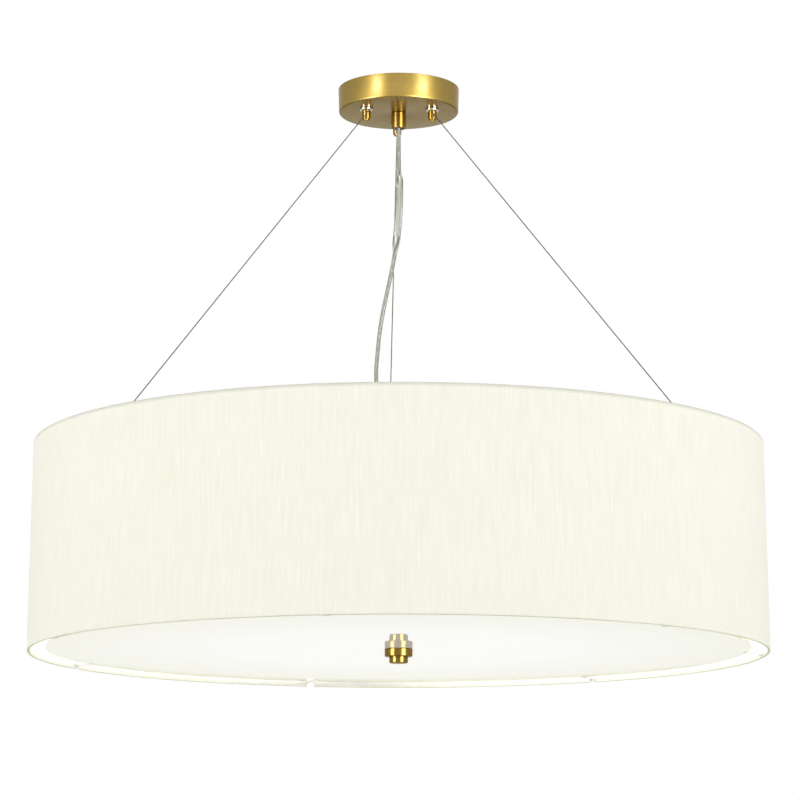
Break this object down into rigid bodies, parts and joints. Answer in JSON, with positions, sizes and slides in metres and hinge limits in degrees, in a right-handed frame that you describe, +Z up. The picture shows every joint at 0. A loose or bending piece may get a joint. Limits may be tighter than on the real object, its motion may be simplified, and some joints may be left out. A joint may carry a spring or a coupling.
{
  "type": "pendant light",
  "caption": "Drum pendant light: round brass ceiling plate, three steel wires on grippers, clear cable, wide cream fabric shade, opal diffuser and brass finial.",
  "frame": {"origin": "middle of the ceiling bracket's top face, on the ceiling and on the lamp's axis", "axes": "+Z up into the ceiling, -Y towards the viewer of the picture, +X to the viewer's right"},
  "size_m": [0.91, 0.91, 0.7324],
  "materials": {
    "brass": "aged satin, warm",
    "chrome": "polished",
    "steel": "zinc plated",
    "wire_steel": "stranded, bright",
    "white_enamel": "powder coated",
    "grey_plastic": "moulded",
    "white_plastic": "moulded",
    "clear_sheath": "clear sheath over pale cores",
    "cream_fabric": "woven cotton, laminated",
    "styrene": "translucent lining",
    "opal_acrylic": "glossy opal",
    "opal_glass": "opal bulb"
  },
  "bodies": {
    "ceiling_plate": {"ceiling_bracket": "steel", "canopy_cup": "brass", "canopy_screw_left": "brass", "canopy_screw_right": "brass", "terminal_block": "white_plastic", "inner_lead": "clear_sheath", "gland_body": "brass", "gland_nut": "steel", "gland_insert": "grey_plastic", "gripper_seat_1": "chrome", "gripper_seat_2": "chrome", "gripper_seat_3": "chrome", "gripper_barrel_1": "brass", "gripper_barrel_2": "brass", "gripper_barrel_3": "brass", "suspension_wire_1": "wire_steel", "suspension_wire_2": "wire_steel", "suspension_wire_3": "wire_steel", "power_cable": "clear_sheath"},
    "drum": {"shade_fabric": "cream_fabric", "shade_lining": "styrene", "top_ring": "white_enamel", "bottom_ring": "white_enamel", "spider_hub": "white_enamel", "spider_arm_1": "white_enamel", "spider_arm_2": "white_enamel", "spider_arm_3": "white_enamel", "wire_anchor_1": "brass", "wire_anchor_2": "brass", "wire_anchor_3": "brass", "cable_grip": "white_plastic", "cluster_stem": "steel", "stem_nut": "steel", "cluster_housing": "white_enamel", "cluster_lid": "white_enamel", "lampholder_1": "white_plastic", "lampholder_2": "white_plastic", "lampholder_3": "white_plastic", "threaded_rod": "steel", "rod_nut": "steel", "diffuser_clip_1": "white_plastic", "diffuser_clip_2": "white_plastic", "diffuser_clip_3": "white_plastic", "diffuser_clip_4": "white_plastic", "diffuser_clip_5": "white_plastic", "diffuser_clip_6": "white_plastic", "diffuser_clip_7": "white_plastic"},
    "diffuser": {"diffuser_disc": "opal_acrylic"},
    "finial_collar": {"finial_disc": "brass"},
    "finial_cap": {"finial_knob": "brass"},
    "plunger_1": {"gripper_plunger_1": "brass"},
    "bulb_1": {"bulb_cap_1": "steel", "bulb_glass_1": "opal_glass"},
    "plunger_2": {"gripper_plunger_2": "brass"},
    "bulb_2": {"bulb_cap_2": "steel", "bulb_glass_2": "opal_glass"},
    "plunger_3": {"gripper_plunger_3": "brass"},
    "bulb_3": {"bulb_cap_3": "steel", "bulb_glass_3": "opal_glass"}
  },
  "joints": [
    {"name": "height_adjust", "type": "slide", "parent": "ceiling_plate", "child": "drum", "axis": [0, 0, 1], "range_m": [0, 0.25], "deforming": ["suspension_wire_1", "suspension_wire_2", "suspension_wire_3", "power_cable"]},
    {"name": "gripper_release_1", "type": "slide", "parent": "ceiling_plate", "child": "plunger_1", "axis": [0, 0, 1], "range_m": [0, 0.0015], "stiffness_N_per_m": 800, "springref_m": -0.0025},
    {"name": "gripper_release_2", "type": "slide", "parent": "ceiling_plate", "child": "plunger_2", "axis": [0, 0, 1], "range_m": [0, 0.0015], "stiffness_N_per_m": 800, "springref_m": -0.0025},
    {"name": "gripper_release_3", "type": "slide", "parent": "ceiling_plate", "child": "plunger_3", "axis": [0, 0, 1], "range_m": [0, 0.0015], "stiffness_N_per_m": 800, "springref_m": -0.0025},
    {"name": "bulb_out_1", "type": "slide", "parent": "drum", "child": "bulb_1", "axis": [-0.8462, -0.5329, 0], "range_m": [0, 0.03]},
    {"name": "bulb_out_2", "type": "slide", "parent": "drum", "child": "bulb_2", "axis": [0.8846, -0.4664, 0], "range_m": [0, 0.03]},
    {"name": "bulb_out_3", "type": "slide", "parent": "drum", "child": "bulb_3", "axis": [-0.0384, 0.9993, 0], "range_m": [0, 0.03]},
    {"name": "finial_drop", "type": "slide", "parent": "drum", "child": "finial_collar", "axis": [0, 0, -1], "range_m": [0, 0.006]},
    {"name": "finial_turn", "type": "hinge", "parent": "finial_collar", "child": "finial_cap", "pos_m": [0, 0, -0.7286], "axis": [0, 0, -1], "range_deg": [0, 2160.01]},
    {"name": "diffuser_lift", "type": "slide", "parent": "drum", "child": "diffuser", "axis": [0, 0, 1], "range_m": [0, 0.03]}
  ],
  "couplings": [
    {"joint": "finial_turn", "follows": "finial_drop", "rad_per_m": 6283.2}
  ]
}
